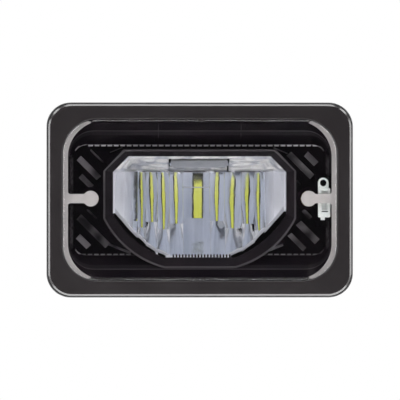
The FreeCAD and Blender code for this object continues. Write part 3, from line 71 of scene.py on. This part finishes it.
# ---------------------------------------------------------------- material building blocks
class Shader:
    """A node material that starts as one Principled shader with object-space coordinates."""

    def __init__(self, name):
        self.material = bpy.data.materials.new(name)
        self.material.use_nodes = True
        self.tree = self.material.node_tree
        self.nodes = self.tree.nodes
        self.main = self.nodes["Principled BSDF"]
        self.output = self.nodes["Material Output"]
        self.place = self.nodes.new("ShaderNodeTexCoord")

    def link(self, source, target):
        self.tree.links.new(source, target)

    def set(self, **values):
        """Constant values on the Principled shader's own sockets, by their plain names."""
        for name, value in values.items():
            socket = self.main.inputs[name.replace("_", " ")]
            socket.default_value = (*value, 1.0) if isinstance(value, tuple) else value
        return self

    def noise(self, scale, detail=4.0, roughness=0.55, stretch=(1.0, 1.0, 1.0)):
        """Noise measured in metres: scale is how many grains there are to the metre."""
        mapping = self.nodes.new("ShaderNodeMapping")
        mapping.inputs["Scale"].default_value = stretch
        texture = self.nodes.new("ShaderNodeTexNoise")
        texture.inputs["Scale"].default_value = scale
        texture.inputs["Detail"].default_value = detail
        texture.inputs["Roughness"].default_value = roughness
        self.link(self.place.outputs["Object"], mapping.inputs["Vector"])
        self.link(mapping.outputs["Vector"], texture.inputs["Vector"])
        return texture.outputs["Fac"]

    def cells(self, scale):
        """Distance from the nearest of many scattered points, scale of them to the metre."""
        texture = self.nodes.new("ShaderNodeTexVoronoi")
        texture.inputs["Scale"].default_value = scale
        self.link(self.place.outputs["Object"], texture.inputs["Vector"])
        return texture.outputs["Distance"]

    def spread(self, source, low, high, start=0.35, end=0.65):
        """Map a texture onto a range of plain numbers."""
        node = self.nodes.new("ShaderNodeMapRange")
        node.inputs["From Min"].default_value = start
        node.inputs["From Max"].default_value = end
        node.inputs["To Min"].default_value = low
        node.inputs["To Max"].default_value = high
        self.link(source, node.inputs["Value"])
        return node.outputs["Result"]

    def ramp(self, source, *stops):
        """Map a texture onto colours: stops are (position, (r, g, b))."""
        node = self.nodes.new("ShaderNodeValToRGB")
        elements = node.color_ramp.elements
        while len(elements) < len(stops):
            elements.new(0.5)
        for element, (position, colour) in zip(elements, stops):
            element.position = position
            element.color = (*colour, 1.0)
        self.link(source, node.inputs["Fac"])
        return node.outputs["Color"]

    def blend(self, factor, first, second):
        """Mix two colours, each a socket or a plain (r, g, b)."""
        node = self.nodes.new("ShaderNodeMix")
        node.data_type = "RGBA"
        self.link(factor, node.inputs[0])
        for socket, value in ((node.inputs[6], first), (node.inputs[7], second)):
            if isinstance(value, tuple):
                socket.default_value = (*value, 1.0)
            else:
                self.link(value, socket)
        return node.outputs[2]

    def bump(self, source, depth_mm, before=None):
        """Relief as deep as given where the source is one, on top of any relief before it."""
        node = self.nodes.new("ShaderNodeBump")
        node.inputs["Distance"].default_value = depth_mm * MM
        self.link(source, node.inputs["Height"])
        if before is not None:
            self.link(before, node.inputs["Normal"])
        return node.outputs["Normal"]

    def axis(self, name):
        """One coordinate of the point being shaded, in metres."""
        parts = self.nodes.new("ShaderNodeSeparateXYZ")
        self.link(self.place.outputs["Object"], parts.inputs["Vector"])
        return parts.outputs[name]

    def maths(self, operation, first, second=0.0):
        """Arithmetic on two sockets or plain numbers."""
        node = self.nodes.new("ShaderNodeMath")
        node.operation = operation
        for socket, value in zip(node.inputs, (first, second)):
            if isinstance(value, float):
                socket.default_value = value
            else:
                self.link(value, socket)
        return node.outputs["Value"]

    def both(self, first, second):
        """Where two masks meet, or a mask made fainter."""
        return self.maths("MULTIPLY", first, second)

    def leaning(self):
        """One on faces that lean about 45 degrees out of the lamp's front plane."""
        parts = self.nodes.new("ShaderNodeSeparateXYZ")
        self.link(self.nodes.new("ShaderNodeNewGeometry").outputs["Normal"], parts.inputs[0])
        cosine, slack, fade = 0.7, 0.15, 0.18
        away = self.maths("ABSOLUTE", self.maths("ADD", parts.outputs["Y"], cosine))
        return self.spread(away, 1.0, 0.0, slack, fade)

    def band(self, source, middle_mm, half_mm, soft_mm=0.1):
        """One inside a band of a coordinate, nought outside it, with soft edges."""
        away = self.maths("ABSOLUTE", self.maths("SUBTRACT", source, middle_mm * MM))
        return self.spread(away, 1.0, 0.0, (half_mm - soft_mm) * MM, (half_mm + soft_mm) * MM)

    def round_edges(self, radius_mm):
        """Normals that catch the light along edges, as a small radius does."""
        node = self.nodes.new("ShaderNodeBevel")
        node.inputs["Radius"].default_value = radius_mm * MM
        return node.outputs["Normal"]

    def to(self, source, name):
        """Feed one of the Principled shader's sockets."""
        self.link(source, self.main.inputs[name])

    def feeding(self, name):
        """What feeds one of the Principled shader's sockets so far."""
        return self.main.inputs[name].links[0].from_socket


def textured(name, dark, light, rough, grain, depth_mm, metal=0.0, coat=0.0, blotch=60.0,
             stretch=(1.0, 1.0, 1.0), edge_mm=0.0, **more):
    """Common finish: two blended colours, varied roughness, fine grain and softened edges."""
    shader = Shader(name)
    shader.set(Metallic=metal, Coat_Weight=coat, **more)
    patches = shader.noise(blotch, 5.0, 0.6, stretch)
    fine = shader.noise(grain, 3.0, 0.6, stretch)
    shader.to(shader.ramp(patches, (0.3, dark), (0.7, light)), "Base Color")
    shader.to(shader.spread(patches, *rough), "Roughness")
    edges = shader.round_edges(edge_mm) if edge_mm else None
    shader.to(shader.bump(fine, depth_mm, before=edges), "Normal")
    return shader


# ---------------------------------------------------------------- materials, one per slot
def housing_cast():
    """Black powder coat over a die casting: a fine orange-peel skin with small pits."""
    return textured("housing_cast", (0.016, 0.016, 0.017), (0.030, 0.030, 0.031),
                    (0.46, 0.60), 900.0, 0.05, edge_mm=0.35).material


def frame_black():
    """Satin black moulding with a fine spark-eroded grain."""
    return textured("frame_black", (0.0200, 0.0172, 0.0180), (0.0235, 0.0203, 0.0213),
                    (0.20, 0.25), 2600.0, 0.004, blotch=35.0).material


def clear_sheet(name, tint, gloss, roughness):
    """Clear moulding: light passes straight through, and the outer face also reflects it."""
    shader = Shader(name)
    haze, waves = shader.noise(220.0, 6.0, 0.7), shader.noise(26.0, 2.0)
    clear = shader.nodes.new("ShaderNodeBsdfTransparent")
    clear.inputs["Color"].default_value = (*tint, 1.0)
    shine = shader.nodes.new("ShaderNodeBsdfGlossy")
    shine.inputs["Color"].default_value = (1.0, 1.0, 1.0, 1.0)
    shader.link(shader.spread(haze, *roughness), shine.inputs["Roughness"])
    shader.link(shader.bump(waves, 0.006), shine.inputs["Normal"])
    fresnel = shader.nodes.new("ShaderNodeFresnel")
    fresnel.inputs["IOR"].default_value = gloss
    side = shader.nodes.new("ShaderNodeNewGeometry").outputs["Backfacing"]
    facing = shader.maths("SUBTRACT", 1.0, side)
    mixed = shader.nodes.new("ShaderNodeMixShader")
    shader.link(shader.maths("MULTIPLY", fresnel.outputs["Fac"], facing), mixed.inputs["Fac"])
    shader.link(clear.outputs["BSDF"], mixed.inputs[1])
    shader.link(shine.outputs["BSDF"], mixed.inputs[2])
    shader.link(mixed.outputs["Shader"], shader.output.inputs["Surface"])
    shader.nodes.remove(shader.main)
    return shader.material


def lens_clear():
    return clear_sheet("lens_clear", (0.985, 0.985, 0.99), 1.40, (0.015, 0.05))


def heater_clear():
    return clear_sheet("heater_clear", (0.99, 0.985, 0.98), 1.10, (0.03, 0.08))


def silver_ink():
    """Screen-printed silver: satin, with a faint mesh grain."""
    return textured("silver_ink", (0.47, 0.45, 0.445), (0.53, 0.505, 0.50), (0.42, 0.55),
                    3000.0, 0.004, blotch=240.0).material


def seal_rubber():
    return textured("seal_rubber", (0.012, 0.012, 0.012), (0.022, 0.022, 0.022),
                    (0.62, 0.78), 1500.0, 0.02).material


def bezel_gloss():
    """Gloss black moulding, with painted highlights on the rib fronts, louvre ramps, ledges and
    collar lip, seams drawn as faint light lines, and the collar face painted a shade lighter.

    Places are in millimetres: out from the middle, up from it, or deep behind the seat.
    """
    rib_deep, rib_up = 4.0, 29.4
    louvre_deep, louvre_up = 5.5, 15.0
    ledge_out, ledge_up = 69.2, -1.0
    seam_out, seam_up = 22.3, 37.5
    collar_lip_deep, collar_face_deep = -2.0, -1.0
    shader = Shader("bezel_gloss").set(Specular_IOR_Level=0.05)
    x, y, z = (shader.axis(name) for name in "XYZ")
    side, level = shader.maths("ABSOLUTE", x), shader.maths("ABSOLUTE", z)
    patches = shader.noise(30.0, 5.0, 0.6)
    fine = shader.noise(500.0, 3.0, 0.6)
    black = shader.ramp(patches, (0.35, (0.0038, 0.0026, 0.0048)),
                        (0.7, (0.0085, 0.0050, 0.0075)))
    # Strengths of painted light: the lower rib row's highlight, the collar lip's highlight, and the
    # collar face made a shade lighter.
    lower_rib_highlight, collar_line_highlight, collar_face_lightening = 0.22, 0.12, 0.016
    # Painted highlights on the fronts of the rib rows above and below the well, the lower row
    # fainter.
    upper = shader.band(z, rib_up, 0.5)
    lower = shader.both(shader.band(z, -rib_up, 0.5), lower_rib_highlight)
    rib_fronts = shader.both(shader.band(y, rib_deep, 0.15, 0.05),
                             shader.maths("MAXIMUM", upper, lower))
    # Painted glints on the louvre ramps that lean about 45 degrees inside the well, varied by noise.
    in_well = shader.both(shader.band(y, louvre_deep, 2.4), shader.band(level, louvre_up, 14.2, 0.2))
    glints = shader.spread(shader.noise(80.0, 1.0, 0.5), 0.05, 0.40, 0.36, 0.64)
    ramps = shader.both(shader.both(shader.leaning(), in_well), glints)
    # A painted highlight in a narrow strip down each side ledge of the well.
    ledges = shader.both(shader.band(side, ledge_out, 0.8, 0.3), shader.both(
        shader.band(z, ledge_up, 24.0, 2.0), shader.spread(fine, 0.02, 0.12)))
    seams = shader.both(shader.band(side, seam_out, 0.16), shader.both(
        shader.band(z, seam_up, 3.6, 0.8), shader.spread(fine, 0.03, 0.09)))
    # A painted highlight along the collar's lip; the collar's face painted a shade lighter.
    collar_lip = shader.both(shader.band(y, collar_lip_deep, 0.12, 0.05), collar_line_highlight)
    collar_face = shader.both(shader.band(y, collar_face_deep, 0.85), collar_face_lightening)
    # Painted highlights, faint light seam lines and a slightly lighter collar face, blended over the
    # black.
    lightened = rib_fronts
    for mark in (ramps, ledges, seams, collar_lip, collar_face):
        lightened = shader.maths("MAXIMUM", lightened, mark)
    shader.to(shader.blend(lightened, black, (0.50, 0.475, 0.50)), "Base Color")
    shader.to(shader.spread(patches, 0.10, 0.20), "Roughness")
    shader.to(shader.bump(fine, 0.004, before=shader.round_edges(0.3)), "Normal")
    return shader.material


def mirror_metal():
    """Vacuum-metallised plastic: a wavy mirror, frosted on its roof, lip and end panels."""
    roof_start, roof_full = 15.4 * MM, 17.0 * MM
    ends_start, ends_full = 33.6 * MM, 41.0 * MM
    lip_end, lip_gone = 10.6 * MM, 10.9 * MM
    insert_top, insert_middle, insert_half = 7.0, -1.2, 7.4
    shader = Shader("mirror_metal")
    x, y, z = (shader.axis(name) for name in "XYZ")
    patches = shader.noise(90.0, 4.0, 0.6)
    silver = shader.ramp(patches, (0.3, (0.84, 0.86, 0.91)), (0.7, (0.93, 0.94, 0.97)))
    roof = shader.spread(z, 0.0, 1.0, roof_start, roof_full)
    ends = shader.spread(shader.maths("ABSOLUTE", x), 0.0, 0.95, ends_start, ends_full)
    lip = shader.spread(y, 1.0, 0.0, lip_end, lip_gone)
    seam = shader.both(shader.band(z, insert_top, 0.25), shader.band(x, insert_middle, insert_half))
    frost = roof
    for part in (ends, lip, seam):
        frost = shader.maths("MAXIMUM", frost, part)
    # Painted light and shade on the roof: each cell bright white in its middle and greyer at its
    # edges, like lit and shaded foil facets.
    facet_light_and_shade = shader.ramp(shader.cells(130.0), (0.50, (1.0, 1.0, 1.0)),
                           (0.72, (0.60, 0.62, 0.68)))
    white = shader.blend(roof, (0.90, 0.92, 1.0), facet_light_and_shade)
    shader.to(shader.blend(frost, silver, white), "Base Color")
    shader.to(shader.spread(frost, 1.0, 0.15, 0.0, 1.0), "Metallic")
    polish = shader.spread(patches, 0.03, 0.10)
    matt = shader.spread(frost, 0.0, 0.30, 0.0, 1.0)
    shader.to(shader.maths("MAXIMUM", polish, matt), "Roughness")
    waves = shader.noise(110.0, 2.0, 0.5, (1.0, 1.0, 0.35))
    rippled = shader.bump(waves, 0.07, before=shader.round_edges(0.3))
    shader.to(shader.bump(shader.both(roof, shader.cells(170.0)), 4.0, before=rippled), "Normal")
    return shader.material


def screw_steel():
    return textured("screw_steel", (0.38, 0.38, 0.40), (0.56, 0.55, 0.53), (0.28, 0.42),
                    1800.0, 0.012, metal=1.0, blotch=300.0).material


def spreader_aluminium():
    return textured("spreader_aluminium", (0.60, 0.60, 0.61), (0.74, 0.74, 0.75),
                    (0.30, 0.45), 700.0, 0.01, metal=1.0, blotch=80.0,
                    stretch=(1.0, 0.06, 1.0)).material


def pad_grey():
    return textured("pad_grey", (0.28, 0.30, 0.33), (0.38, 0.40, 0.43), (0.7, 0.85),
                    1400.0, 0.02).material


def board_white():
    # The faint blue-white emission is a painted glow: the board gives no light of its own.
    return textured("board_white", (0.40, 0.44, 0.54), (0.66, 0.70, 0.79), (0.32, 0.45),
                    900.0, 0.01, blotch=260.0, stretch=(1.0, 0.12, 1.0),
                    Emission_Color=(0.80, 0.88, 1.0), Emission_Strength=0.10).material


def package_black():
    return textured("package_black", (0.015, 0.015, 0.016), (0.03, 0.03, 0.03),
                    (0.35, 0.5), 2500.0, 0.01).material


def phosphor():
    """Yellow phosphor in clear silicone, with a painted glow: its faint emission is not light from a
    lit LED.
    """
    return textured("phosphor", (0.60, 0.62, 0.08), (0.70, 0.72, 0.13), (0.30, 0.42),
                    2200.0, 0.01, blotch=500.0, Emission_Color=(0.66, 0.68, 0.10),
                    Emission_Strength=0.42).material


def shield_grey():
    return textured("shield_grey", (0.44, 0.46, 0.51), (0.56, 0.58, 0.63), (0.32, 0.45),
                    1500.0, 0.01, metal=0.3, edge_mm=0.3).material


def sensor_white():
    """Natural white nylon with a faint moulded grain, with painted shade in its sunken dish and
    darker painted shade in its notch.
    """
    floor_deep, dish_up, notch_up = -3.2, -0.15, -6.2
    shader = textured("sensor_white", (0.90, 0.92, 0.89), (0.95, 0.96, 0.94), (0.38, 0.52),
                      1600.0, 0.02, blotch=200.0, edge_mm=0.25, Subsurface_Weight=0.1)
    white = shader.feeding("Base Color")
    y, z = shader.axis("Y"), shader.axis("Z")
    sunk = shader.band(y, floor_deep, 0.12, 0.05)
    dish_shade = shader.both(shader.both(sunk, shader.band(z, dish_up, 5.2)), 0.22)
    notch = shader.both(sunk, shader.band(z, notch_up, 0.36, 0.05))
    recess_shade = shader.maths("MAXIMUM", dish_shade, notch)
    # Painted shade: the sunken dish is darkened a little and the notch almost to black.
    shader.to(shader.blend(recess_shade, white, (0.09, 0.09, 0.10)), "Base Color")
    return shader.material


def contact_brass():
    return textured("contact_brass", (0.55, 0.42, 0.20), (0.74, 0.58, 0.30), (0.22, 0.36),
                    1600.0, 0.01, metal=1.0, blotch=260.0).material


def spring_steel():
    return textured("spring_steel", (0.34, 0.34, 0.36), (0.48, 0.48, 0.50), (0.25, 0.4),
                    2000.0, 0.008, metal=1.0, blotch=300.0).material


def board_green():
    return textured("board_green", (0.010, 0.10, 0.035), (0.018, 0.16, 0.055),
                    (0.28, 0.4), 800.0, 0.02, coat=0.3, blotch=400.0).material


def ferrite():
    return textured("ferrite", (0.045, 0.045, 0.05), (0.085, 0.085, 0.09), (0.5, 0.7),
                    1800.0, 0.04).material


def can_metal():
    return textured("can_metal", (0.48, 0.48, 0.50), (0.66, 0.66, 0.68), (0.25, 0.38),
                    1200.0, 0.01, metal=1.0, stretch=(1.0, 0.1, 1.0)).material


def transistor_black():
    return textured("transistor_black", (0.014, 0.014, 0.015), (0.026, 0.026, 0.026),
                    (0.45, 0.6), 2200.0, 0.02).material


def cover_plastic():
    """Fine leather-like mould texture on black plastic."""
    return textured("cover_plastic", (0.016, 0.016, 0.018), (0.028, 0.028, 0.030),
                    (0.45, 0.58), 1300.0, 0.04, edge_mm=0.3).material


def terminal_plastic():
    return textured("terminal_plastic", (0.030, 0.030, 0.034), (0.050, 0.050, 0.054),
                    (0.40, 0.55), 1700.0, 0.02, edge_mm=0.3).material


def terminal_brass():
    """Stamped brass with fine draw lines along the blade."""
    return textured("terminal_brass", (0.55, 0.46, 0.26), (0.78, 0.68, 0.44), (0.20, 0.34),
                    900.0, 0.01, metal=1.0, blotch=220.0, stretch=(1.0, 0.08, 1.0)).material


def lead_sleeve():
    return textured("lead_sleeve", (0.025, 0.025, 0.028), (0.045, 0.045, 0.05), (0.42, 0.55),
                    1500.0, 0.01).material


def vent_plastic():
    return textured("vent_plastic", (0.018, 0.018, 0.018), (0.032, 0.032, 0.032),
                    (0.40, 0.52), 1600.0, 0.02, edge_mm=0.3).material


MATERIALS = (
    housing_cast, frame_black, lens_clear, heater_clear, silver_ink, seal_rubber, bezel_gloss,
    mirror_metal, screw_steel, spreader_aluminium, pad_grey, board_white, package_black,
    phosphor, shield_grey, sensor_white, contact_brass, spring_steel, board_green, ferrite,
    can_metal, transistor_black, cover_plastic, terminal_plastic, terminal_brass, lead_sleeve,
    vent_plastic,
)


def dress_nodes():
    """Give each CAD node the finished material of its slot."""
    made = {build.__name__: build() for build in MATERIALS}
    for name, node in frame["nodes"].items():
        material = made[SLOTS[name]]
        if not node.material_slots:
            node.data.materials.append(material)
        for holder in node.material_slots:
            holder.material = material


# ---------------------------------------------------------------- moving pieces
def compress_springs():
    """Each contact spring is swapped for a copy with its own mesh, tied to the root body, and the
    CAD spring is hidden; its rear end is found but nothing is moved.
    """
    for side in ("left", "right"):
        node = frame["nodes"][f"contact_spring_{side}"]
        coil = node.copy()
        coil.data = node.data.copy()
        coil.name = f"contact_coil_{side}"
        bpy.context.scene.collection.objects.link(coil)
        low, high = (Vector(corner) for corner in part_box(f"contact_spring_{side}"))
        rear = (low + high) / 2
        rear.y = high.y
        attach(coil, "root")
        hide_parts(f"contact_spring_{side}")
        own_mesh(coil)


# ---------------------------------------------------------------- studio
def make_floor():
    """Pale round table top, a hand's breadth below the lamp."""
    lamp_low, drop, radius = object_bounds()[0][2], 0.13, 0.95
    bpy.ops.mesh.primitive_circle_add(vertices=96, radius=radius, fill_type="NGON",
                                      location=(0.0, 0.0, lamp_low - drop))
    floor = bpy.context.object
    floor.name = "studio_floor"
    shader = Shader("pale_floor").set(Roughness=0.85)
    shader.to(shader.ramp(shader.noise(3.0), (0.3, (0.86, 0.86, 0.86)),
                          (0.7, (0.90, 0.90, 0.90))), "Base Color")
    floor.data.materials.append(shader.material)


def make_world():
    """White paper for the camera; the lamp itself sees a dim room."""
    world = bpy.data.worlds.new("room")
    bpy.context.scene.world = world
    world.use_nodes = True
    nodes, links = world.node_tree.nodes, world.node_tree.links
    nodes.clear()
    output = nodes.new("ShaderNodeOutputWorld")
    room = nodes.new("ShaderNodeBackground")
    room.inputs["Color"].default_value = (0.92, 0.94, 1.0, 1.0)
    room.inputs["Strength"].default_value = 0.09
    paper = nodes.new("ShaderNodeBackground")
    paper.inputs["Color"].default_value = (1.0, 1.0, 1.0, 1.0)
    paths = nodes.new("ShaderNodeLightPath")
    mixed = nodes.new("ShaderNodeMixShader")
    links.new(paths.outputs["Is Camera Ray"], mixed.inputs["Fac"])
    links.new(room.outputs["Background"], mixed.inputs[1])
    links.new(paper.outputs["Background"], mixed.inputs[2])
    links.new(mixed.outputs["Shader"], output.inputs["Surface"])


def add_softbox(name, place, size, brightness):
    """Rectangular panel facing the lamp; its brightness is that of its surface."""
    light = bpy.data.lights.new(name, "AREA")
    light.shape = "RECTANGLE"
    light.size, light.size_y = size
    light.energy = brightness * math.pi * size[0] * size[1]
    panel = bpy.data.objects.new(name, light)
    bpy.context.scene.collection.objects.link(panel)
    panel.location = place
    panel.rotation_euler = (-Vector(place)).to_track_quat("-Z", "Y").to_euler()
    panel.visible_camera = False


def make_lights():
    """A ring of strips in the plane of the lamp's face, with dimmer panels in front of it."""
    reach, long, short = 0.9, 0.72, 0.26
    for name, angle in (("right", 0), ("upper_right", 45), ("top", 90), ("upper_left", 135),
                        ("left", 180)):
        across, up = math.cos(math.radians(angle)), math.sin(math.radians(angle))
        size = (short, long) if name in ("right", "left") else (long, short)
        add_softbox(f"ring_{name}", (reach * across, -0.04, reach * up), size, 9.0)
    add_softbox("ring_low", (0.0, 0.012, -0.17), (0.5, 0.05), 8.0)
    add_softbox("panel_right", (0.95, -0.62, 0.30), (0.5, 0.8), 3.1)
    add_softbox("panel_left", (-0.95, -0.62, 0.30), (0.5, 0.8), 3.1)
    add_softbox("panel_high", (0.0, -0.62, 1.0), (1.0, 0.4), 3.1)
    add_softbox("table_light", (0.0, 0.7, 1.3), (1.2, 1.0), 1.8)


def make_camera():
    """Long lens, square to the lamp's face and a degree to its left."""
    width_seen = 0.2147
    distance, swing = 1.6, math.radians(1.0)
    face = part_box("lens_frame")[0][1]
    data = bpy.data.cameras.new("camera")
    data.sensor_width = 36.0
    data.lens = data.sensor_width * distance / width_seen
    camera = bpy.data.objects.new("camera", data)
    bpy.context.scene.collection.objects.link(camera)
    target = Vector((0.0, face, 0.0))
    camera.location = target + Vector((-math.sin(swing), -math.cos(swing), 0.0)) * distance
    camera.rotation_euler = (target - camera.location).to_track_quat("-Z", "Y").to_euler()
    bpy.context.scene.camera = camera


dress_nodes()
compress_springs()
make_floor()
make_world()
make_lights()
make_camera()
bpy.context.scene.view_settings.view_transform = "Standard"
